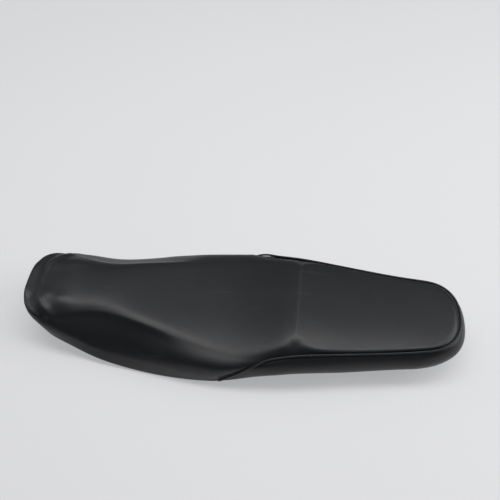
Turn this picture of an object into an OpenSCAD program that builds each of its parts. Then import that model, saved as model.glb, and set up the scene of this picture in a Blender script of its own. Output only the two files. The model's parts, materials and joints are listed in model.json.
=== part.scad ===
// Dual seat of a light motorcycle: vinyl cover, foam and moulded pan, with its frame fittings.
// +X points forward to the tank, +Y to the rider's left, +Z up.
// The origin lies under the middle of the seat, level with the flaps' lowest edge.

/* [Seat] */
// Overall length, nose to tail
seat_l = 690; // [620:5:760]
// Width over the flaps at the rider's thighs
seat_w = 236; // [206:2:266]
// Height of the passenger's crest above the flaps' lowest edge
seat_h = 79; // [72:1:94]

/* [Cover] */
// Thickness of the vinyl
cover_t = 1.4; // [1:0.1:2]
// Diameter of the welt
welt_d = 3.6; // [3:0.2:4.4]
// Width of the hem folded in round the pan's edge
hem_w = 15; // [12:1:17]
// Width of a staple's crown
staple_w = 10; // [8:0.5:12]

/* [Pan] */
// Wall of the moulded pan
pan_t = 3; // [2.5:0.25:4]
// Height of the pan's floor above its edge
skirt_h = 20; // [18:1:24]
// Height of the ribs under the pan's floor
rib_h = 7; // [5:0.5:9]
// Thickness of the ribs
rib_t = 2.4; // [2:0.2:3.2]
// Diameter of the drain holes
drain_d = 8; // [6:0.5:12]

/* [Feet] */
// Diameter of a rubber foot
foot_d = 30; // [24:1:36]
// Height of a rubber foot below the pan's floor
foot_h = 12; // [9:0.5:14]

/* [Front tongue] */
// Width of the tongue
tongue_w = 44; // [36:1:56]
// Thickness of the bracket's steel
tongue_t = 3; // [2:0.5:4]
// Length of the tongue ahead of its bend
tongue_reach = 42; // [30:1:52]
// Diameter of the fixing screws' shanks
screw_d = 6; // [5:0.5:8]

/* [Side hooks] */
// Distance from the centreline to each hook
hook_y = 52; // [44:1:60]
// Width of a hook
hook_w = 24; // [18:1:30]
// Gap in a hook for the frame's tab
hook_gap = 8; // [6:0.5:11]

/* [Latch striker] */
// Diameter of the striker's rod
striker_d = 8; // [6:0.5:10]
// Clear width inside the striker's loop
striker_gap = 26; // [20:1:34]
// Length of the striker's base plate
plate_l = 70; // [60:1:84]

/* [Hidden] */
$fn = 32;

// Design size that the rails below are drawn at
k = [seat_l / 690, seat_w / 236, seat_h / 79];
// Clearance between layers that are glued or stapled together
fit = 0.3;

// Rails of the seat, from tail to nose, as half widths and heights at each station
rail_x    = [-320, -240, -160, -110,  -88,  -66,  -50,    0,   40,  100,  160,  220,  280,  320,  345];
crease_w  = [  61,   72,   83,   90,   93,   97,  100,   98,   90,   73,   58,   47,   57,   66,   66];
crease_z  = [  70,   64,   64, 64.5,   64,   61,   58,   50,   49,   57,   65,   68,   67,   69,   76];
inner_w   = [57.5, 68.5, 79.5,   84,   80, 85.5,   90,   88,   81,   64,   49,   38,   46,   52,   52];
inner_z   = [  73, 66.5, 66.5,   70,   75,   70,   64,   53,   52,   60,   68,   72,   72,   71,   71];
middle_z  = [  74,   70,   71,   76,   79, 74.5,   69,   57,   55,   61,   69,   75,   75,   72,   72];
roll_w    = [  68,   77,   89,   97,  100,  104,  107,  115,  118,  111,  100, 89.5,   78,   80,   80];
roll_z    = [  46,   43,   42,   42,   42, 39.5,   37,   27,   22,   27,   26,   28,   50,   54,   54];
edge_w    = [  62,   73,   86,   92,   95,   99,  102,  114,  116,  113,  107,   97,   80,   72,   72];
edge_z    = [  26,   24,   22,   22,   22,   21,   20,   13,    5,    0,    2,   10,   26,   34,   34];
belly     = [   2,    2,    2,    2,    2,    3,    4,    7,    8,    7,    3,    3,    2,    2,    2];

// Ends of each rail: where the rounding starts, where it ends and how square it is
function ends(nose_0, nose_1, nose_p, tail_0, tail_1, tail_p, seam) =
    [nose_0, nose_1, nose_p, tail_0, tail_1, tail_p, seam];
crease_ends = ends(285, 343, 3.2, -285, -335, 2.3, -48);
inner_ends  = ends(275, 318, 4, -280, -327, 2.3, -48);
roll_ends   = ends(280, 345, 2.1, -285, -345, 2.4, 5);
edge_ends   = ends(280, 338, 2.1, -285, -336, 2.4, 33);

// Columns in the nose's end, ahead of the seam, behind it and in the tail's end
cols = [8, 14, 12, 8];
half_n = cols[0] + cols[1] + cols[2] + cols[3];
ring_n = 2 * half_n;
seam_col = cols[0] + cols[1];
// Depth of the groove that the welt lies in
groove = welt_d / 2 + 0.8;

// ---- curves ----

// Smooth curve through the stations xs, ys, read at x
function rail_slope(xs, ys, i) =
    let (a = max(i - 1, 0), b = min(i + 1, len(xs) - 1)) (ys[b] - ys[a]) / (xs[b] - xs[a]);
function rail_seg(xs, x, i = 0) = (i >= len(xs) - 2 || x < xs[i + 1]) ? i : rail_seg(xs, x, i + 1);
function rail(ys, x) =
    let (i = rail_seg(rail_x, x), h = rail_x[i + 1] - rail_x[i],
         t = min(max((x - rail_x[i]) / h, 0), 1),
         m0 = rail_slope(rail_x, ys, i) * h, m1 = rail_slope(rail_x, ys, i + 1) * h)
    (2*t*t*t - 3*t*t + 1) * ys[i] + (t*t*t - 2*t*t + t) * m0
    + (3*t*t - 2*t*t*t) * ys[i + 1] + (t*t*t - t*t) * m1;

// Place along a rail of column j, and how far the end's rounding draws it in
function col_x(e, j) =
    let (a = cols[0], b = a + cols[1], c = b + cols[2])
    j <= a ? e[0] + (e[1] - e[0]) * pow(sin(90 * (1 - j / a)), 2 / e[2])
    : j <= b ? e[0] + (e[6] - e[0]) * (j - a) / cols[1]
    : j <= c ? e[6] + (e[3] - e[6]) * (j - b) / cols[2]
    : e[3] + (e[4] - e[3]) * pow(sin(90 * (j - c) / cols[3]), 2 / e[5]);
function col_round(e, j) =
    let (a = cols[0], c = half_n - cols[3])
    j <= a ? pow(cos(90 * (1 - j / a)), 2 / e[2])
    : j <= c ? 1 : pow(max(cos(90 * (j - c) / cols[3]), 0), 2 / e[5]);

// Point of a rail at column j, and the outward direction in plan there
function rail_at(e, ws, zs, j) =
    let (x = col_x(e, j)) [x * k.x, rail(ws, x) * col_round(e, j) * k.y, rail(zs, x) * k.z];
function flat_unit(v) = let (n = norm([v.x, v.y])) [v.x / n, v.y / n, 0];
function out_dir(e, ws, zs, j) =
    j == 0 ? [1, 0, 0] : j == half_n ? [-1, 0, 0] :
    let (t = flat_unit(rail_at(e, ws, zs, j + 1) - rail_at(e, ws, zs, j - 1))) [t.y, -t.x, 0];
function crease_at(j) = rail_at(crease_ends, crease_w, crease_z, j);
function inner_at(j) = rail_at(inner_ends, inner_w, inner_z, j);
function roll_at(j) = rail_at(roll_ends, roll_w, roll_z, j);
function edge_at(j) = rail_at(edge_ends, edge_w, edge_z, j);
function edge_out(j) = out_dir(edge_ends, edge_w, edge_z, j);

// Groove under the welt: along the crease behind the seam, and down the seam itself
function along_seam(j) = j >= seam_col ? 1 : 0;
function on_seam(j) = j == seam_col ? 1 : 0;

// Flank from the pan's edge (v = 0) over the roll (1) and the belly (2) to the crease (3),
// set in by d from the outer face
function flank_knots(j) =
    let (a = edge_at(j), b = roll_at(j), c = crease_at(j), n = edge_out(j),
         m = (b + c) / 2 + (n + [0, 0, 1]) * rail(belly, (b.x + c.x) / 2 / k.x) * 0.7)
    [a, b, m, c];
function hermite(p0, p1, m0, m1, t) =
    (2*t*t*t - 3*t*t + 1) * p0 + (t*t*t - 2*t*t + t) * m0 + (3*t*t - 2*t*t*t) * p1 + (t*t*t - t*t) * m1;
function flank(j, v, d) =
    let (q = flank_knots(j), n = edge_out(j), i = min(floor(v), 2), t = v - i,
         m0 = i == 0 ? q[1] - q[0] : (q[i + 1] - q[i - 1]) / 2,
         m1 = i == 2 ? q[3] - q[2] : (q[i + 2] - q[i]) / 2,
         lift = [0, 0.2, 0.7, 0.8][round(v)],
         dip = v < 3 ? on_seam(j) * min(1.2 * v, 1) : along_seam(j))
    hermite(q[i], q[i + 1], m0, m1, t) - (d + groove * dip) * (n * sqrt(1 - lift * lift) + [0, 0, lift]);

// Top of the seat, from the inner rail (s = 0) to the middle (s = 1), set in by d
spine = [-292, 292];
function top(j, s, d) =
    let (p = inner_at(j), sx = min(max(p.x / k.x, spine[0]), spine[1]) * 0.5 + p.x / k.x * 0.5,
         x = p.x / k.x * (1 - s) + sx * s, f = 1 - pow(1 - s, 3),
         z = rail(inner_z, x) + (rail(middle_z, x) - rail(inner_z, x)) * f)
    [x * k.x, p.y * (1 - s), z * k.z - d];

// ---- rings and skins ----

function ring(half) = [for (i = [0:ring_n - 1])
    i <= half_n ? half[i] : [half[ring_n - i].x, -half[ring_n - i].y, half[ring_n - i].z]];
// The first and last column lie on the centreline
function on_axis(p, j) = (j == 0 || j == half_n) ? [p.x, 0, p.z] : p;
function flank_ring(v, d) = ring([for (j = [0:half_n]) on_axis(flank(j, v, d), j)]);
function top_ring(s, d) = ring([for (j = [0:half_n]) on_axis(top(j, s, d), j)]);
// Ring that follows the pan's edge, set in by d and raised by h
function edge_ring(d, h) =
    ring([for (j = [0:half_n]) on_axis(edge_at(j) - edge_out(j) * d + [0, 0, h], j)]);

function join(lists) = [for (l = lists) each l];
// Triangles between rings r and r + 1 at column i, seen from outside, starting at point base
function quad(i, r, base, flip = false) =
    let (a = base + r * ring_n + i, b = base + r * ring_n + (i + 1) % ring_n,
         c = a + ring_n, e = b + ring_n)
    flip ? [[a, b, e], [a, e, c]] : [[a, e, b], [a, c, e]];
// Strip across the centreline that closes ring r
function cap(r, base, flip = false) =
    let (o = base + r * ring_n)
    join([for (i = [0:half_n - 1])
        let (a = o + i, b = o + i + 1, c = o + ring_n - i - 1, e = o + (ring_n - i) % ring_n,
             t = i == 0 ? [[a, c, b]] : i == half_n - 1 ? [[a, e, b]] : [[a, c, b], [a, e, c]])
        flip ? [for (f = t) [f[2], f[1], f[0]]] : t]);

// Closed solid through a list of rings, capped at both ends
module skin(rings) {
    n = len(rings);
    polyhedron(join(rings), concat(
        join([for (r = [0:n - 2], i = [0:ring_n - 1]) quad(i, r, 0)]),
        cap(n - 1, 0), cap(0, 0, true)), convexity = 8);
}

// Panel of one thickness: outer and inner rings, and a rule for which fields belong to it.
// side is 1 for the fields ahead of the seam and above the crease, -1 for the rear band.
function band_field(i, r, crease_r) =
    r < crease_r && i >= seam_col && i < ring_n - seam_col;
function in_panel(i, r, crease_r, side) = band_field(i, r, crease_r) ? side < 0 : side > 0;
module panel(outer, inner, crease_r, side) {
    n = len(outer);
    base = n * ring_n;
    fields = [for (r = [0:n - 2], i = [0:ring_n - 1]) if (in_panel(i, r, crease_r, side)) [i, r]];
    walls = join([for (f = fields)
        let (i = f[0], r = f[1], a = r * ring_n + i, b = r * ring_n + (i + 1) % ring_n,
             c = a + ring_n, e = b + ring_n,
             prev = in_panel((i + ring_n - 1) % ring_n, r, crease_r, side),
             next = in_panel((i + 1) % ring_n, r, crease_r, side))
        concat(
            r == 0 || !in_panel(i, r - 1, crease_r, side) ? [[a, b, a + base], [b, b + base, a + base]] : [],
            r < n - 2 && !in_panel(i, r + 1, crease_r, side)
                ? [[e, c, c + base], [e, c + base, e + base]] : [],
            !prev ? [[c, a, a + base], [c, a + base, c + base]] : [],
            !next ? [[b, e, b + base], [e, e + base, b + base]] : [])]);
    last = r_last(n, side);
    polyhedron(concat(join(outer), join(inner)), concat(
        join([for (f = fields) quad(f[0], f[1], 0)]),
        join([for (f = fields) quad(f[0], f[1], base, true)]),
        last < 0 ? [] : concat(cap(last, 0), cap(last, base, true)),
        walls), convexity = 10);
}
function r_last(n, side) = side > 0 ? n - 1 : -1;

// Corners of the pan's skirt, as distance in from the edge and height above it, grown by d:
// the lower wall leans in, then slopes over to the floor
wall_lean = 3.4;
floor_in = 16 * min(k.x, k.y, 1);
pan_low = cover_t + fit + 0.7;
function skirt_corner(d) = [cover_t + fit + wall_lean - d, 0.45 * skirt_h + 0.4 * d];
function floor_corner(d) = [floor_in - 0.3 * d, skirt_h + d];
slope_run = floor_corner(-pan_t) - skirt_corner(-pan_t);
slope_dir = slope_run / norm(slope_run);
slope_in = [slope_dir.y, -slope_dir.x];
// Point of the hem at distance t up the slope, at depth d from the pan
function hem_at(t, d) = skirt_corner(-pan_t) + t * slope_dir + d * slope_in;

// ---- cover ----

flank_v = [0, 0.5, 1, 1.5, 2, 2.5, 3];
top_s = [0, 0.25, 0.5, 0.72, 0.9];
// Depth from the cover's face to the hem's face inside the pan's edge
stack = 2 * cover_t + pan_t + 2 * fit;
hem_end = hem_w - 0.45 * skirt_h + 2;
function hem_rings(d) = [
    for (q = [hem_at(hem_end, d), skirt_corner(-pan_t) + [d, -0.45 * d],
              [stack - cover_t - fit + d, pan_low - 0.8], [stack / 2, cover_t + fit - d]])
        edge_ring(q.x, q.y)];
hem_rings_out = hem_rings(fit + cover_t);
hem_rings_in = hem_rings(fit);
function lifted(rings, h) = [for (q = rings) [for (p = q) p + [0, 0, h]]];
function cover_face(d) = concat(
    [for (v = flank_v) v == 0 ? lifted([flank_ring(0, d)], 1.2 + d / 2)[0] : flank_ring(v, d)],
    [for (s = top_s) top_ring(s, d)]);
crease_ring = len(hem_rings_out) + len(flank_v) - 1;

module cover_top() {
    color("#2b2d30")
        panel(concat(hem_rings_out, cover_face(0)), concat(hem_rings_in, cover_face(cover_t)),
              crease_ring, 1);
}

module cover_rear_band() {
    color("#36383b")
        panel(concat(hem_rings_out, cover_face(0)), concat(hem_rings_in, cover_face(cover_t)),
              crease_ring, -1);
}

// ---- welt: up the left seam, round the tail on the crease, and down the right seam ----

welt_half = concat(
    [for (v = [0.3, 0.5, 1, 1.5, 2, 2.5, 2.75]) flank(seam_col, v, -groove)],
    [for (j = [seam_col:half_n]) flank(j, 3, -groove)]);
welt_path = [for (i = [0:2 * len(welt_half) - 2])
    let (m = len(welt_half) - 1, p = welt_half[i <= m ? i : 2 * m - i]) i <= m ? p : [p.x, -p.y, p.z]];
function unit(v) = v / norm(v);
function sweep_ring(path, i, r, sides) =
    let (a = path[max(i - 1, 0)], b = path[min(i + 1, len(path) - 1)], t = unit(b - a),
         u = unit(cross(t, [0, 0, 1])), w = cross(u, t))
    [for (s = [0:sides - 1]) path[i] + r * (cos(360 * s / sides) * u + sin(360 * s / sides) * w)];
module sweep(path, r, sides) {
    n = len(path);
    pts = join([for (i = [0:n - 1]) sweep_ring(path, i, r, sides)]);
    polyhedron(pts, concat(
        join([for (i = [0:n - 2], s = [0:sides - 1])
            let (a = i * sides + s, b = i * sides + (s + 1) % sides)
            [[a, b, b + sides], [a, b + sides, a + sides]]]),
        [[for (s = [0:sides - 1]) sides - 1 - s], [for (s = [0:sides - 1]) (n - 1) * sides + s]]),
        convexity = 8);
}

module welt() {
    color("#1e1f21") sweep(welt_path, welt_d / 2, 8);
}

// ---- foam and pan ----

floor_s = [0.3, 0.6, 0.9];
// Height of the pan's top face at x, and the rings of that face raised by d
function floor_z(x) = (rail(edge_z, x) * k.z + skirt_h);
function floor_ring(s, d) = ring([for (j = [0:half_n])
    let (p = edge_at(j) - edge_out(j) * floor_in, px = p.x / k.x,
         sx = min(max(px, spine[0]), spine[1]) * 0.5 + px * 0.5, x = px * (1 - s) + sx * s)
    on_axis([x * k.x, p.y * (1 - s), floor_z(x) + d], j)]);
function pan_face(d) = concat(
    [edge_ring(skirt_corner(d).x, skirt_corner(d).y), edge_ring(floor_corner(d).x, floor_corner(d).y)],
    [for (s = floor_s) floor_ring(s, d)]);
function reverse(l) = [for (i = [len(l) - 1:-1:0]) l[i]];

module foam_cushion() {
    // Moulded to the cover's inside, with a pocket over the striker's backing plate
    color("#d9c27a") difference() {
        skin(concat(
            reverse(pan_face(0.5)),
            [for (v = flank_v) if (v >= 1) flank_ring(v, cover_t + (v == 1 ? 6 * fit : fit))],
            [for (s = top_s) top_ring(s, cover_t + fit)]));
        under_pan(striker_x, 0) backing_shape(fit);
    }
}

// ---- places under the pan ----

// Each pair of feet: its station, and the room between a foot's rim and the pan's edge
foot_front = [130, 22.4];
foot_middle = [-110, 17];
foot_rear = [-200, 19.5];
drain_x = [110, 5, -115, -200];
tongue_x = 224;
hook_x = -20;
striker_x = -262;
plate_w = 36;
plate_t = 3;
hook_t = 3;
boss_h = 2.5;
// Spacing of the screws and studs, across and along their plates
tongue_pitch = 24;
hook_pitch = 13;
stud_pitch = [plate_l - 16, plate_w - 16];
tongue_screws_at = [[-12, tongue_pitch / 2], [-12, -tongue_pitch / 2]];
hook_screws_at = [[-13, hook_pitch / 2], [-13, -hook_pitch / 2]];
studs_at = [for (a = [-1, 1], b = [-1, 1]) [a * stud_pitch.x / 2, b * stud_pitch.y / 2]];

// Underside of the pan's floor at x, and its slope
function pan_under(x) = floor_z(x) - pan_t;
function pan_slope(x) = atan((floor_z(x + 12) - floor_z(x - 12)) / (24 * k.x));

// Places children square to the floor at x, on the lower face of a boss of height h
module under_pan(x, y = 0, h = boss_h) {
    translate([x * k.x, y, pan_under(x)]) rotate([0, -pan_slope(x), 0]) translate([0, 0, -h]) children();
}
module at_hooks() {
    for (y = [-hook_y, hook_y]) under_pan(hook_x, y) children();
}
module at_feet(p) {
    for (s = [-1, 1])
        translate([p.x * k.x, s * (rail(edge_w, p.x) * k.y - p.y - foot_d / 2), pan_under(p.x) - boss_h])
        children();
}
module at(spots) {
    for (p = spots) translate([p.x, p.y, 0]) children();
}
module bosses() {
    rise = boss_h + 1;
    under_pan(tongue_x) translate([-tongue_back - 2, -tongue_w / 2 - 2, 0])
        cube([tongue_back + tongue_front + 2, tongue_w + 4, rise]);
    at_hooks() translate([-24, -hook_w / 2 - 2, 0]) cube([40, hook_w + 4, rise]);
    under_pan(striker_x) translate([-plate_l / 2 - 2, -plate_w / 2 - 2, 0])
        cube([plate_l + 4, plate_w + 4, rise]);
    for (p = [foot_front, foot_middle, foot_rear]) at_feet(p) cylinder(d = foot_d + 4, h = rise);
}

// Ribs under the floor, the rearmost just behind the striker's plate
rib_room = 3;
rear_rib = striker_x - (plate_l / 2 + rib_room) / k.x;
ribs_across = [rear_rib, -150, -80, 30, 80, 170];
rib_y = 26;
rib_to = 185;

module rib_across(x) {
    w = rail(edge_w, x) * k.y - floor_in - rib_room;
    translate([x * k.x - rib_t / 2, -w, pan_under(x) - rib_h]) cube([rib_t, 2 * w, rib_h + 1]);
}
module rib_along(y) {
    xs = [rear_rib:15:rib_to];
    translate([0, y + rib_t / 2, 0]) rotate([90, 0, 0]) linear_extrude(rib_t)
        polygon(concat([for (x = xs) [x * k.x, pan_under(x) - rib_h]],
                       reverse([for (x = xs) [x * k.x, pan_under(x) + 1]])));
}

stem_d = 8;
module pan_holes() {
    through = pan_t + boss_h + 10;
    screw_hole = screw_d + 2 * fit;
    for (x = drain_x) under_pan(x, 0, 5) cylinder(d = drain_d, h = through);
    for (p = [foot_front, foot_middle, foot_rear]) at_feet(p) {
        translate([0, 0, -5]) cylinder(d = stem_d + 2 * fit, h = through);
        // The ribs stop short of a foot
        translate([0, 0, -rib_h - 5]) cylinder(d = foot_d + 2, h = rib_h + 5);
    }
    under_pan(tongue_x) at(tongue_screws_at) translate([0, 0, -5]) cylinder(d = screw_hole, h = through);
    at_hooks() at(hook_screws_at) translate([0, 0, -5]) cylinder(d = screw_hole, h = through);
    under_pan(striker_x) at(studs_at) translate([0, 0, -5]) cylinder(d = screw_hole, h = through);
}

module seat_pan() {
    color("#3a3b3d") difference() {
        union() {
            skin(concat(
                reverse(concat([edge_ring(cover_t + fit + pan_t, pan_low)], pan_face(-pan_t))),
                [edge_ring(cover_t + fit, pan_low)], pan_face(0)));
            for (x = ribs_across) rib_across(x);
            for (y = [-rib_y, rib_y]) rib_along(y * k.y);
            bosses();
        }
        pan_holes();
    }
}

// ---- fittings ----

head_d = 1.8 * screw_d;
head_h = 0.6 * screw_d;
// Shank up through a plate of thickness t and the pan, with a rounded head below
module screw(t) {
    translate([0, 0, -t - fit]) {
        cylinder(d = screw_d, h = t + boss_h + pan_t);
        rotate([180, 0, 0]) rotate_extrude() intersection() {
            translate([0, head_h - head_d]) circle(r = head_d);
            square([head_d / 2, head_h]);
        }
    }
}
// Clearance hole down through a plate of thickness t that hangs below z = 0
module plate_hole(t, d = screw_d + 2 * fit) {
    translate([0, 0, -t - 1]) cylinder(d = d, h = t + 2);
}

bend_h = 14;
tongue_back = 24;
tongue_front = 18;
tip_r = 12;
tongue_low = bend_h + 2 * tongue_t;
module front_tongue() {
    tip_x = tongue_front + tongue_reach;
    color("#8b8f92") under_pan(tongue_x) translate([0, 0, -fit]) difference() {
        rotate([90, 0, 0]) translate([0, 0, -tongue_w / 2]) linear_extrude(tongue_w) polygon([
            [-tongue_back, 0], [tongue_front, 0], [tongue_front, tongue_t - tongue_low],
            [tip_x, tongue_t - tongue_low], [tip_x, -tongue_low],
            [tongue_front - tongue_t, -tongue_low], [tongue_front - tongue_t, -tongue_t],
            [-tongue_back, -tongue_t]]);
        at(tongue_screws_at) plate_hole(tongue_t);
        for (s = [-1, 1]) translate([tip_x - tip_r, s * (tongue_w / 2 - tip_r), -tongue_low - 1])
            difference() {
                translate([0, s > 0 ? 0 : -tip_r - 2, 0]) cube([tip_r + 2, tip_r + 2, tongue_t + 2]);
                translate([0, 0, -1]) cylinder(r = tip_r, h = tongue_t + 4);
            }
    }
}

sleeve_l = 22;
sleeve_t = 2.5;
module tongue_sleeve() {
    color("#202020") under_pan(tongue_x)
        translate([tongue_front + tongue_reach - tip_r - 2 - sleeve_l, 0, -tongue_low - fit + tongue_t / 2])
        rotate([90, 0, 90]) linear_extrude(sleeve_l) difference() {
            square([tongue_w + 2 * sleeve_t, tongue_t + 2 * sleeve_t], center = true);
            square([tongue_w + fit, tongue_t + fit], center = true);
        }
}

module tongue_screws() {
    color("#b9bcbe") under_pan(tongue_x) at(tongue_screws_at) screw(tongue_t);
}

hook_back = 22;
hook_front = 14;
hook_lip = 20;
module side_hook() {
    low = 2 * hook_t + hook_gap;
    difference() {
        rotate([90, 0, 0]) translate([0, 0, -hook_w / 2]) linear_extrude(hook_w) polygon([
            [-hook_back, 0], [hook_front, 0], [hook_front, -hook_t], [hook_t, -hook_t],
            [hook_t, hook_t - low], [hook_lip, hook_t - low], [hook_lip, -low], [0, -low],
            [0, -hook_t], [-hook_back, -hook_t]]);
        at(hook_screws_at) plate_hole(hook_t);
    }
}
module side_hooks() {
    color("#8b8f92") at_hooks() translate([0, 0, -fit]) side_hook();
}
module hook_screws() {
    color("#b9bcbe") at_hooks() at(hook_screws_at) screw(hook_t);
}

// The striker's rod hangs down to the level of the flaps' lowest edge
loop_bend = striker_d + 2;
leg_y = (striker_gap + striker_d) / 2;
module loop_legs(d, top) {
    for (s = [-1, 1]) translate([striker_x * k.x + s * leg_y, 0, loop_bend + striker_d / 2])
        cylinder(d = d, h = top - loop_bend - striker_d / 2);
}
module striker_plate() {
    color("#8b8f92") difference() {
        under_pan(striker_x) translate([0, 0, -plate_t - fit]) difference() {
            translate([-plate_l / 2, -plate_w / 2, 0]) cube([plate_l, plate_w, plate_t]);
            at(studs_at) translate([0, 0, plate_t]) plate_hole(plate_t);
        }
        loop_legs(striker_d + fit, pan_under(striker_x));
    }
}
module striker_loop() {
    color("#b9bcbe") {
        loop_legs(striker_d, pan_under(striker_x) - boss_h - 2 * fit - 0.6);
        translate([striker_x * k.x, 0, 0]) {
            for (s = [0, 180]) rotate([0, 0, s])
                translate([leg_y - loop_bend, 0, loop_bend + striker_d / 2]) rotate([90, 90, 0])
                rotate_extrude(angle = 90) translate([loop_bend, 0]) circle(d = striker_d);
            translate([-leg_y + loop_bend, 0, striker_d / 2]) rotate([0, 90, 0])
                cylinder(d = striker_d, h = 2 * (leg_y - loop_bend));
        }
    }
}

// Plate above the pan with its four studs
backing_t = 2.5;
nut_h = 0.8 * screw_d;
nut_rim = 1.5;
module backing_shape(grow) {
    translate([-plate_l / 2 - grow, -plate_w / 2 - grow, boss_h + pan_t + fit - grow])
        cube([plate_l + 2 * grow, plate_w + 2 * grow, backing_t + 2 * grow]);
}
module striker_backing() {
    color("#8b8f92") under_pan(striker_x) {
        backing_shape(0);
        at(studs_at) translate([0, 0, -plate_t - nut_h - 5])
            cylinder(d = screw_d, h = boss_h + pan_t + plate_t + nut_h + 6);
    }
}
module striker_nuts() {
    color("#b9bcbe") under_pan(striker_x) at(studs_at)
        translate([0, 0, -plate_t - fit - nut_h - nut_rim]) difference() {
            union() {
                cylinder(d = 1.9 * screw_d, h = nut_h, $fn = 6);
                translate([0, 0, nut_h]) cylinder(d = 2.2 * screw_d, h = nut_rim);
            }
            translate([0, 0, -1]) cylinder(d = screw_d + 0.2, h = nut_h + 4);
        }
}

// Rubber foot with a rounded rim, on a stem through the pan's floor
foot_rim = 2.5;
module foot() {
    rotate([180, 0, 0]) translate([0, 0, fit]) rotate_extrude() {
        translate([0, -boss_h - pan_t]) square([stem_d / 2, boss_h + pan_t + 1]);
        square([foot_d / 2, foot_h - foot_rim]);
        square([foot_d / 2 - foot_rim, foot_h]);
        translate([foot_d / 2 - foot_rim, foot_h - foot_rim]) circle(r = foot_rim);
    }
}
module feet_front() { color("#202020") at_feet(foot_front) foot(); }
module feet_middle() { color("#202020") at_feet(foot_middle) foot(); }
module feet_rear() { color("#202020") at_feet(foot_rear) foot(); }

grommet_wall = 1.6;
grommet_rim = 2.6;
module drain_grommets() {
    color("#202020") for (x = drain_x) under_pan(x, 0, 0) rotate_extrude() {
        translate([drain_d / 2 - fit - grommet_wall, -0.5]) square([grommet_wall, pan_t + 0.5]);
        translate([drain_d / 2 - fit - grommet_wall, -2]) square([grommet_wall + grommet_rim, 1.5]);
    }
}

// Staple crowns along the hem, one between each pair of columns that leaves room for it
staple_t = 0.8;
module hem_staples() {
    spot = hem_at(hem_end / 2, 2 * fit + cover_t + staple_t / 2);
    function corner(j) = edge_at(j) - edge_out(j) * spot.x + [0, 0, spot.y];
    color("#b9bcbe") for (j = [0:half_n - 1], s = [0, 1]) mirror([0, s, 0]) {
        a = corner(j);
        b = corner(j + 1);
        if (norm(b - a) > staple_w + 1)
            translate((a + b) / 2) rotate([0, 0, atan2(b.y - a.y, b.x - a.x)])
            rotate([0, -atan2(b.z - a.z, norm([b.x - a.x, b.y - a.y])), 0])
            rotate([-atan2(slope_run.x, slope_run.y), 0, 0])
            cube([staple_w, staple_t, 1.2], center = true);
    }
}

cover_top();
cover_rear_band();
welt();
foam_cushion();
seat_pan();
hem_staples();
front_tongue();
tongue_sleeve();
tongue_screws();
side_hooks();
hook_screws();
striker_plate();
striker_loop();
striker_backing();
striker_nuts();
feet_front();
feet_middle();
feet_rear();
drain_grommets();
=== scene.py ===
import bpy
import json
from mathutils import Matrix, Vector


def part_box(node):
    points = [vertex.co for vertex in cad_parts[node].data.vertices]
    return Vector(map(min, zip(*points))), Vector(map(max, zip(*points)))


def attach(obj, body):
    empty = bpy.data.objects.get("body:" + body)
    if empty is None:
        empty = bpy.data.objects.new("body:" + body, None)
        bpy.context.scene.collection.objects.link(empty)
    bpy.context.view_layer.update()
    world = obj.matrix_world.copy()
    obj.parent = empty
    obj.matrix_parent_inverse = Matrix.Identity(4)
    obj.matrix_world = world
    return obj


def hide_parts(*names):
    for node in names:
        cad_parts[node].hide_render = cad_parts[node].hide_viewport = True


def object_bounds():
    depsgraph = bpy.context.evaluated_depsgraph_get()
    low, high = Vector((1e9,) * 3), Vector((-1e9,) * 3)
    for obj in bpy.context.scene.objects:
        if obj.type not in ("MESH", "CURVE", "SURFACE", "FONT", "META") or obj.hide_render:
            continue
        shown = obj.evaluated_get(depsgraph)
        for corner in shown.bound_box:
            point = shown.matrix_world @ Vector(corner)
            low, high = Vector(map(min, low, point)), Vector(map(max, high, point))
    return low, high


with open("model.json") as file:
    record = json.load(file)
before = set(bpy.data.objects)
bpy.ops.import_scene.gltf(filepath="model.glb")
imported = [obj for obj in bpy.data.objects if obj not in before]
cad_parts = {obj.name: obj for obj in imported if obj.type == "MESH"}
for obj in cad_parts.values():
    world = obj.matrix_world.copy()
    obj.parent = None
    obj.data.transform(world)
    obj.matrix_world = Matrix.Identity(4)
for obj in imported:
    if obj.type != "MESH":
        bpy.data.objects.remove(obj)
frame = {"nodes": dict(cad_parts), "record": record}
cad_box = [list(corner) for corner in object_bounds()]

import json
import math

import bmesh
import bpy
from mathutils import Vector
from mathutils.bvhtree import BVHTree
from mathutils.kdtree import KDTree

MM = 0.001
nodes = frame["nodes"]


# ---- camera, and helpers for the lamps ----

def look(obj, place, back):
    obj.location = place
    obj.rotation_mode = "QUATERNION"
    obj.rotation_quaternion = (-Vector(back)).to_track_quat("-Z", "Y")
    bpy.context.scene.collection.objects.link(obj)
    return obj


def direction(azimuth, elevation):
    a, e = math.radians(azimuth), math.radians(elevation)
    return Vector((math.sin(a) * math.cos(e), -math.cos(a) * math.cos(e), math.sin(e)))


lens = bpy.data.cameras.new("camera")
lens.lens = 47.8
lens.shift_y = 0.037
camera = look(bpy.data.objects.new("camera", lens), (-0.0779, 0.6115, 0.9037),
              direction(186.22, 51))
bpy.context.scene.camera = camera


def softbox(name, place, aim, size, watts, colour=(1, 1, 1)):
    lamp = bpy.data.lights.new(name, "AREA")
    lamp.shape = "RECTANGLE"
    lamp.size, lamp.size_y = size
    lamp.energy = watts
    lamp.color = colour
    return look(bpy.data.objects.new(name, lamp), place, Vector(place) - Vector(aim))


def socket_values(node, values):
    for name, value in values.items():
        node.inputs[name].default_value = value


# ---- materials ----

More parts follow.
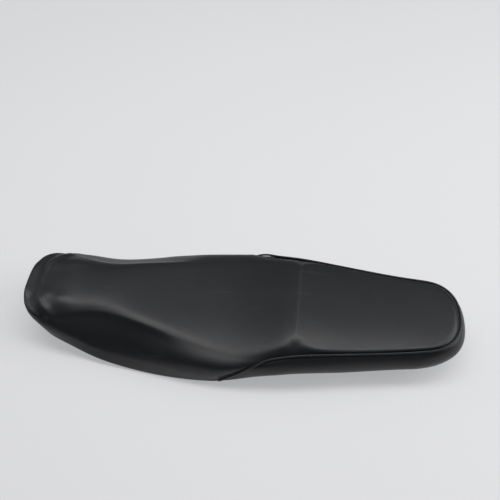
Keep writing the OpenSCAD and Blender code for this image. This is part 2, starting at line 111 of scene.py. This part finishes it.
class Finish:
    """A node material built up step by step."""

    def __init__(self, name):
        self.material = bpy.data.materials.new(name)
        self.material.use_nodes = True
        self.tree = self.material.node_tree
        self.shader = self.tree.nodes["Principled BSDF"]
        self.coords = self.tree.nodes.new("ShaderNodeTexCoord").outputs["Object"]

    def node(self, kind, inputs=None, **settings):
        made = self.tree.nodes.new("ShaderNode" + kind)
        for key, value in settings.items():
            setattr(made, key, value)
        for key, value in (inputs or {}).items():
            if isinstance(value, bpy.types.NodeSocket):
                self.tree.links.new(value, made.inputs[key])
            else:
                made.inputs[key].default_value = value
        return made

    def noise(self, scale, detail=3, stretch=None):
        vector = self.coords
        if stretch:
            vector = self.node("Mapping", {"Vector": vector, "Scale": stretch}).outputs["Vector"]
        return self.node("TexNoise", {"Vector": vector, "Scale": scale,
                                      "Detail": detail}).outputs["Fac"]

    def cells(self, scale):
        return self.node("TexVoronoi", {"Vector": self.coords, "Scale": scale}).outputs["Distance"]

    def span(self, value, low, high, start=0.0, end=1.0):
        return self.node("MapRange", {"Value": value, "From Min": start, "From Max": end,
                                      "To Min": low, "To Max": high}).outputs["Result"]

    def sums(self, a, b, operation="ADD"):
        made = self.node("Math", operation=operation)
        for i, value in enumerate((a, b)):
            if isinstance(value, bpy.types.NodeSocket):
                self.tree.links.new(value, made.inputs[i])
            else:
                made.inputs[i].default_value = value
        return made.outputs["Value"]

    def blend(self, factor, a, b):
        made = self.node("Mix", data_type="RGBA")
        self.tree.links.new(factor, made.inputs[0])
        for slot, value in ((6, a), (7, b)):
            if isinstance(value, bpy.types.NodeSocket):
                self.tree.links.new(value, made.inputs[slot])
            else:
                made.inputs[slot].default_value = (*value, 1)
        return made.outputs[2]

    def attribute(self, name):
        return self.node("Attribute", attribute_name=name).outputs["Fac"]

    def colour(self, value):
        self.tree.links.new(value, self.shader.inputs["Base Color"])

    def rough(self, value):
        self.tree.links.new(value, self.shader.inputs["Roughness"])

    def bump(self, height, depth, strength=1.0):
        made = self.node("Bump", {"Height": height, "Strength": strength, "Distance": depth})
        self.tree.links.new(made.outputs["Normal"], self.shader.inputs["Normal"])


def shade(colour, times):
    return tuple(c * times for c in colour)


PUCKER_STEP = 4.6 * MM     # from one stitch's pucker to the next
SEAM_X = -48 * MM          # where the top panel's crease turns into the welt's seam
CREST_X = -87 * MM         # the step's crest, a column of the CAD cover


def vinyl(name, colour, rough, grain, crest=False):
    """Grained vinyl, with the puckers that sewing leaves beside the welt, and a lighter line on the
    crest that is painted highlight with some wear.
    """
    f = Finish(name)
    patches = f.noise(9, 2)
    tone = f.blend(f.span(patches, 0, 1, 0.35, 0.65), shade(colour, 0.9), shade(colour, 1.12))
    gloss = f.sums(f.span(f.noise(60, 3), rough - 0.04, rough + 0.04), f.span(patches, -0.02, 0.02))
    pebble = f.sums(f.cells(grain), f.sums(f.noise(grain * 2.2, 2), 0.6, "MULTIPLY"))
    height = f.sums(pebble, 0.05 * 900 / grain, "MULTIPLY")
    gap, run = f.attribute("seam_gap"), f.attribute("seam_run")
    near = f.span(gap, 1, 0, 1.2 * MM, 5 * MM)
    turns = f.sums(run, 2 * math.pi / PUCKER_STEP, "MULTIPLY")
    wave = f.node("Math", {0: turns}, operation="SINE").outputs["Value"]
    gathers = f.span(f.noise(30, 2), 0.0, 1.0, 0.35, 0.65)
    puckers = f.sums(f.sums(wave, gathers, "MULTIPLY"), near, "MULTIPLY")
    height = f.sums(height, f.sums(puckers, 0.28, "MULTIPLY"))
    if crest:
        place = f.node("SeparateXYZ", {"Vector": f.coords})
        wander = f.span(f.noise(24, 3), -1.6 * MM, 1.6 * MM)
        from_crest = f.sums(f.sums(place.outputs["X"], -CREST_X), wander)
        off = f.node("Math", {0: from_crest}, operation="ABSOLUTE")
        line = f.span(off.outputs["Value"], 1, 0, 0.4 * MM, 3.2 * MM)
        from_middle = f.node("Math", {0: place.outputs["Y"]}, operation="ABSOLUTE")
        inside = f.span(from_middle.outputs["Value"], 1, 0, 72 * MM, 80 * MM)
        above = f.span(place.outputs["Z"], 0, 1, 68 * MM, 72 * MM)
        patchy = f.sums(above, f.span(f.noise(90, 3), 0.35, 1.0, 0.3, 0.7), "MULTIPLY")
        # painted highlight: the crest's line is lightened in the colour where light catches its
        # rounded edge, partly also wear
        crest_highlight_and_wear = f.sums(f.sums(line, inside, "MULTIPLY"), patchy, "MULTIPLY")
        tone = f.blend(crest_highlight_and_wear, tone, shade(colour, 2.1))
        height = f.sums(height, f.sums(f.sums(line, f.noise(170, 3), "MULTIPLY"), 0.5, "MULTIPLY"))
        scratch = f.span(f.noise(16, 1, stretch=(1, 9, 1)), 0, 1, 0.715, 0.73)
        tone = f.blend(f.sums(scratch, 0.4, "MULTIPLY"), tone, shade(colour, 2.6))
    f.colour(tone)
    f.rough(gloss)
    f.bump(height, MM, 0.8)
    f.shader.inputs["Specular IOR Level"].default_value = 0.44
    return f.material


def plastic(name, colour, rough):
    f = Finish(name)
    f.colour(f.blend(f.noise(30, 3), shade(colour, 0.85), shade(colour, 1.15)))
    f.rough(f.span(f.noise(80, 2), rough - 0.06, rough + 0.06))
    f.bump(f.noise(1600, 2), 0.05 * MM, 0.5)
    return f.material


def metal(name, colour, rough):
    f = Finish(name)
    f.colour(f.blend(f.noise(120, 4), shade(colour, 0.8), colour))
    f.rough(f.span(f.noise(240, 4), rough - 0.08, rough + 0.1))
    f.bump(f.noise(900, 3), 0.02 * MM, 0.4)
    f.shader.inputs["Metallic"].default_value = 1
    return f.material


looks = {
    "vinyl": vinyl("seat vinyl", (0.0090, 0.0098, 0.0115), 0.41, 900, crest=True),
    "vinyl_band": vinyl("side band vinyl", (0.0085, 0.009, 0.010), 0.40, 1100),
    "vinyl_welt": vinyl("welt vinyl", (0.010, 0.0105, 0.0115), 0.33, 1300),
    "foam": plastic("moulded foam", (0.62, 0.50, 0.24), 0.9),
    "pan_plastic": plastic("pan plastic", (0.030, 0.031, 0.033), 0.5),
    "black_steel": plastic("black painted steel", (0.022, 0.022, 0.023), 0.32),
    "bright_rod": metal("bright plated rod", (0.62, 0.62, 0.60), 0.22),
    "zinc": metal("zinc plate", (0.55, 0.56, 0.55), 0.34),
    "rubber": plastic("foot rubber", (0.018, 0.018, 0.018), 0.7),
}


def paint(obj, slot):
    obj.data.materials.clear()
    obj.data.materials.append(looks[slot])


# ---- shapes ----

def merged_copy(node):
    """The node's outer shape as one closed mesh of mostly four-sided faces."""
    bm = bmesh.new()
    bm.from_mesh(nodes[node].data)
    bmesh.ops.remove_doubles(bm, verts=bm.verts, dist=0.02 * MM)
    bmesh.ops.join_triangles(bm, faces=bm.faces[:], angle_face_threshold=math.radians(60),
                             angle_shape_threshold=math.radians(130))
    return bm


def crease_layer(bm):
    return bm.edges.layers.float.get("crease_edge") or bm.edges.layers.float.new("crease_edge")


def fold_creases(bm, start, full, most):
    """Keeps an edge crisp by how far it folds: none at start, most at full, in degrees."""
    layer = crease_layer(bm)
    for edge in bm.edges:
        if len(edge.link_faces) == 2:
            share = (math.degrees(edge.calc_face_angle(0)) - start) / (full - start)
            edge[layer] = most * min(max(share, 0), 1)


def nearest(bm, place):
    return min(bm.verts, key=lambda v: (v.co - Vector(place)).length_squared)


LONGEST_WALK = 120     # edges


def way(v, edge):
    """Direction in which the edge leaves v."""
    return (edge.other_vert(v).co - v.co).normalized()


def walk(start, heading, stop):
    """Edges of the mesh in a line from start: first along heading, then always straight on."""
    edge = max(start.link_edges, key=lambda e: way(start, e).dot(heading))
    here, line = start, []
    while True:
        there = edge.other_vert(here)
        line.append(edge)
        if stop(there) or len(line) > LONGEST_WALK:
            return line
        ahead = way(here, edge)
        beside = set(edge.link_faces)
        options = [e for e in there.link_edges if e is not edge and not beside & set(e.link_faces)]
        options = options or [e for e in there.link_edges if e is not edge]
        edge = max(options, key=lambda e: way(there, e).dot(ahead))
        here = there


def piece(name, bm, slot, *stands_for):
    """A piece made from the mesh, in place of the CAD nodes it stands for."""
    mesh = bpy.data.meshes.new(name)
    bm.to_mesh(mesh)
    bm.free()
    mesh.shade_smooth()
    obj = bpy.data.objects.new(name, mesh)
    bpy.context.scene.collection.objects.link(obj)
    paint(obj, slot)
    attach(obj, "root")
    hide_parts(*stands_for)
    return obj


def subdivided(obj, levels):
    made = obj.modifiers.new("smooth", "SUBSURF")
    made.levels = made.render_levels = levels
    return obj


def ramp(x, *knots):
    """Value at x on a line through (place, value) pairs, places rising."""
    for (x0, a), (x1, b) in zip(knots, knots[1:]):
        if x <= x1:
            return a + (b - a) * min(max((x - x0) / (x1 - x0), 0), 1)
    return knots[-1][1]


TUBE_SIDES = 8         # sides of the swept welt's ring


def centre_line(node, ends):
    """Middle of a swept tube, from the lines along it that start at the ring nearest to ends."""
    bm = merged_copy(node)
    first = nearest(bm, ends)
    ring = sorted(bm.verts, key=lambda v: (v.co - first.co).length)[:TUBE_SIDES]
    lines = []
    for v in ring:
        outward = [e for e in v.link_edges if e.other_vert(v) not in ring]
        edge = max(outward, key=lambda e: e.calc_length())
        line = walk(v, edge.other_vert(v).co - v.co, lambda w: False)
        points, here = [v.co.copy()], v
        for e in line:
            here = e.other_vert(here)
            points.append(here.co.copy())
        lines.append(points)
    count = min(len(l) for l in lines)
    bm.free()
    return [sum((l[i] for l in lines), Vector()) / len(lines) for i in range(count)]


def settle(obj):
    """Turns the modifiers' result into the piece's own mesh."""
    graph = bpy.context.evaluated_depsgraph_get()
    mesh = bpy.data.meshes.new_from_object(obj.evaluated_get(graph))
    obj.modifiers.clear()
    obj.data = mesh
    return obj


# ---- cover, band, welt and foam ----

FOLD_START, FOLD_FULL = 40, 60     # degrees

cover = merged_copy("cover_top")
fold_creases(cover, FOLD_START, FOLD_FULL, 0.9)
creases = crease_layer(cover)
rim_points = []        # the left rim, from the nose back to the seam
for side in (1, -1):
    nose = nearest(cover, (cad_box[1][0] - 3 * MM, 0, 75 * MM))
    rim = walk(nose, Vector((0, side, 0)), lambda v: v.co.x < SEAM_X - 5 * MM)
    rim_points += [v.co.copy() for edge in rim for v in edge.verts if side > 0]
    for edge in rim:
        x = sum(v.co.x for v in edge.verts) / 2 / MM
        edge[creases] = ramp(x, (-50, 0.7), (0, 0.95), (200, 0.95), (262, 0.4), (285, 0.2),
                             (300, 0.2), (320, 0.4))
    corner = nearest(cover, (CREST_X, side * 79.5 * MM, 75 * MM))
    crest = walk(corner, Vector((0, -side, 0.1)), lambda v: v.co.y * side < 5 * MM)
    for edge in crest:
        edge[creases] = 0.75
    wall_top = nearest(cover, (160 * MM, side * 100 * MM, 26 * MM))
    for heading in (1, -1):
        for edge in walk(wall_top, Vector((heading, 0, 0)),
                         lambda v: not 30 * MM < v.co.x < 300 * MM):
            x = sum(v.co.x for v in edge.verts) / 2 / MM
            edge[creases] = ramp(x, (30, 0.0), (80, 0.5), (240, 0.5), (290, 0.2))
seat_cover = settle(subdivided(piece("seat_cover", cover, "vinyl", "cover_top"), 2))

band = merged_copy("cover_rear_band")
fold_creases(band, FOLD_START, FOLD_FULL, 0.9)
tail_band = settle(subdivided(piece("tail_side_band", band, "vinyl_band", "cover_rear_band"), 2))

piping = merged_copy("welt")
welt_cord = settle(subdivided(piece("welt_piping", piping, "vinyl_welt", "welt"), 1))

cushion = merged_copy("foam_cushion")
foam = settle(subdivided(piece("foam_pad", cushion, "foam", "foam_cushion"), 2))


# ---- the welt's seam: how far each point is from it, and how far along ----

welt_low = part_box("welt")[0]
seam = centre_line("welt", (25 * MM, 114 * MM, welt_low.z))
steps, runs = [seam[0]], [0.0]
for a, b in zip(seam, seam[1:]):
    parts = max(1, round((b - a).length / MM))
    for i in range(parts):
        steps.append(a.lerp(b, (i + 1) / parts))
        runs.append(runs[-1] + (b - a).length / parts)
seam_tree = KDTree(len(steps))
for i, point in enumerate(steps):
    seam_tree.insert(point, i)
seam_tree.balance()


# ---- the cover's fold round the nose, and the band's crown ----

def smooth(t):
    t = min(max(t, 0), 1)
    return t * t * (3 - 2 * t)


def line_distance(place, line):
    """Distance in plan to a line of points, signed: positive ahead of it and outside."""
    best = None
    for a, b in zip(line, line[1:]):
        run = b - a
        t = min(max((place - a).dot(run) / run.length_squared, 0), 1)
        off = place - (a + run * t)
        if best is None or off.length < abs(best):
            best = math.copysign(off.length, run.x * off.y - run.y * off.x)
    return best


# sizes of the folds and swellings, in mm
RIDGE_RISE, DIP_DEPTH = 2.2, 3.4
FLANK_DRAWN_IN = 2.6
NOSE_RISE = 3.6
BAND_CROWN = 0.17      # as a share of the band's height
# soft swellings and hollows: place in plan, reach, height
DOMES = [(306, 31, 12, 2.0), (280, 37, 13, 2.2), (-87, 80, 9, -2.6)]
# the ridge round the nose, in plan, from the right side to the left
RIDGE = [(250, -118), (288, -66), (307, -50), (319, -34), (322, -12),
         (322, 12), (319, 34), (307, 50), (288, 66), (250, 118)]
ridge_line = [Vector((x, y)) * MM for x, y in RIDGE]


def nose_fold(v):
    """Height change in mm on the nose's top: a ridge, then a dip ahead of it."""
    if v.x < 262 * MM or v.z < 40 * MM:
        return 0
    gap = -line_distance(v.xy, ridge_line) / MM
    front = smooth((v.x / MM - 290) / 14)
    share = smooth((v.x / MM - 272) / 26)
    ridge = RIDGE_RISE * math.exp(-(gap / 5.0) ** 2)
    corner = smooth((abs(v.y) / MM - 22) / 18)
    hollow = math.exp(-((gap - 9) / 5.0) ** 2)
    dip = -DIP_DEPTH * ((1 - corner) * hollow + corner * smooth(gap / 9)) * front
    return share * smooth((v.z / MM - 44) / 16) * (ridge + dip)


rim_rows = sorted((round(p.x, 5), abs(p.y), p.z) for p in rim_points)
RIM_Y = [(x, y) for x, y, z in rim_rows]
RIM_Z = [(x, z) for x, y, z in rim_rows]


def tuck(v):
    """How far, in mm, the flank is drawn in just below the rim."""
    if not 0 < v.x < 335 * MM:
        return 0
    below = (ramp(v.x, *RIM_Z) - v.z) / MM
    beyond = (abs(v.y) - ramp(v.x, *RIM_Y)) / MM
    share = smooth((v.x / MM - 70) / 50) * (1 - smooth((v.x / MM - 300) / 35))
    share *= smooth((beyond + 1.5) / 4)
    return FLANK_DRAWN_IN * share * smooth(below / 7) * (1 - smooth((below - 9) / 16))


def nose_crown(v):
    """Height in mm of the nose's padding, highest along the middle."""
    x, y = v.x / MM, v.y / MM
    share = smooth((x - 245) / 40) * (1 - smooth((x - 314) / 14)) * smooth((v.z / MM - 40) / 15)
    return NOSE_RISE * share * max(0, 1 - (y / 60) ** 2)


def dome(v, x, y, reach, height):
    """A soft swelling of the padding at a place."""
    off = (v.xy / MM - Vector((x, y))).length / reach
    return height * math.exp(-off * off) * smooth((v.z / MM - 40) / 15)


FOAM_ROOM = 0.8        # how much further the foam sinks under the fold

for obj, room in ((seat_cover, 0), (foam, FOAM_ROOM)):
    for v in obj.data.vertices:
        at = Vector((v.co.x, abs(v.co.y), v.co.z))
        lift = nose_fold(v.co) + nose_crown(v.co) + sum(dome(at, *spot) for spot in DOMES)
        if room:
            lift = min(lift, 0) - room * smooth((v.co.x / MM - 262) / 20)
        drawn = tuck(v.co)
        inward = (drawn + (room if drawn > 0 else 0)) * MM
        v.co.y -= math.copysign(inward, v.co.y)
        v.co.z += lift * MM

# height of the band's lower edge at places along the seat, in mm
HEM = [(-345, 26), (-240, 24), (-160, 22), (-88, 22), (-50, 20), (0, 13), (17, 0)]
wall = BVHTree.FromObject(tail_band, bpy.context.evaluated_depsgraph_get())
TAIL_CENTRE = -285 * MM    # the tail's round end turns about this place
reach = 60 * MM            # well outside the band
crowned = []
for v in tail_band.data.vertices:
    out = Vector((min(v.co.x - TAIL_CENTRE, 0), v.co.y, 0)).normalized()
    hit = wall.ray_cast(v.co + out * reach, -out, reach * 1.2)
    depth = (reach - hit[3]) / MM if hit[3] is not None else 0
    foot = ramp(v.co.x / MM, *HEM) * MM
    top = steps[seam_tree.find(v.co)[1]].z
    t = min(max((v.co.z - foot) / max(top - foot, MM), 0), 1)
    side_on = (1 - 0.75 * smooth((-v.co.x / MM - 265) / 50)) * smooth((-v.co.x / MM + 5) / 70)
    outside = 1 - smooth((depth - 2.2) / 2.5)
    bulge = math.sin(math.pi * t ** 0.63)
    crown = BAND_CROWN * side_on * (top - foot) * bulge * outside
    crowned.append(out * crown)
for v, move in zip(tail_band.data.vertices, crowned):
    v.co += move


# ---- how far each point is from the seam, and where along it, for the puckers ----

for obj in (seat_cover, tail_band, welt_cord):
    gaps = obj.data.attributes.new("seam_gap", "FLOAT", "POINT")
    along = obj.data.attributes.new("seam_run", "FLOAT", "POINT")
    for v in obj.data.vertices:
        _, index, distance = seam_tree.find(v.co)
        gaps.data[v.index].value = distance
        along.data[v.index].value = runs[index]


# ---- finishes of the fittings ----

slots = {part["node"]: part["material_slot"] for part in frame["record"]["subparts"]}
for name, obj in nodes.items():
    if not obj.hide_render:
        paint(obj, slots[name])


# ---- floor and lamps ----

PAPER = {"Color": (0.97, 0.975, 1.0, 1), "Strength": 0.76}     # the pale backdrop and floor

# half of what the camera and reflections see of the floor is its own glow,
# which keeps the shadow soft
floor_finish = Finish("pale floor")
floor_finish.colour(floor_finish.blend(floor_finish.noise(1.3, 3),
                                       (0.81, 0.81, 0.82), (0.86, 0.86, 0.865)))
floor_finish.shader.inputs["Roughness"].default_value = 0.6
seen = floor_finish.node("LightPath")
glow = floor_finish.node("Emission", PAPER)
seen_or_glossy = floor_finish.sums(seen.outputs["Is Camera Ray"], seen.outputs["Is Glossy Ray"])
share = floor_finish.sums(seen_or_glossy, 0.5, "MULTIPLY")
both = floor_finish.node("MixShader", {0: share, 1: floor_finish.shader.outputs["BSDF"],
                                       2: glow.outputs["Emission"]})
floor_finish.tree.links.new(both.outputs["Shader"],
                            floor_finish.tree.nodes["Material Output"].inputs["Surface"])
FLOOR_GAP = 0.3 * MM       # below the seat's lowest point
ground = bmesh.new()
bmesh.ops.create_grid(ground, x_segments=1, y_segments=1, size=4)
bmesh.ops.translate(ground, verts=ground.verts, vec=(0, 0, cad_box[0][2] - FLOOR_GAP))
floor_mesh = bpy.data.meshes.new("floor")
ground.to_mesh(floor_mesh)
ground.free()
floor_mesh.materials.append(floor_finish.material)
floor = bpy.data.objects.new("floor", floor_mesh)
bpy.context.scene.collection.objects.link(floor)

# the room lights the seat faintly; the camera sees the pale backdrop
world = bpy.data.worlds.new("studio")
world.use_nodes = True
tree = world.node_tree
room_light = tree.nodes["Background"]
socket_values(room_light, {"Color": (0.92, 0.95, 1.0, 1), "Strength": 0.09})
backdrop = tree.nodes.new("ShaderNodeBackground")
socket_values(backdrop, PAPER)
rays = tree.nodes.new("ShaderNodeLightPath")
choice = tree.nodes.new("ShaderNodeMixShader")
tree.links.new(rays.outputs["Is Camera Ray"], choice.inputs[0])
tree.links.new(room_light.outputs[0], choice.inputs[1])
tree.links.new(backdrop.outputs[0], choice.inputs[2])
tree.links.new(choice.outputs[0], tree.nodes["World Output"].inputs["Surface"])
bpy.context.scene.world = world

softbox("overhead", (-0.05, -0.3, 2.1), (-0.05, -0.3, 0), (2.5, 0.7), 29)
softbox("far_fill", (0.1, -1.9, 1.7), (0, 0, 0.1), (3.4, 1.4), 4.0, (0.93, 0.96, 1.0))
softbox("left_side", (-2.3, -0.4, 1.4), (0, 0, 0), (2.0, 2.0), 36)
softbox("right_side", (2.3, -0.5, 1.4), (0, 0, 0), (2.0, 2.0), 9)

bpy.context.scene.view_settings.view_transform = "Standard"
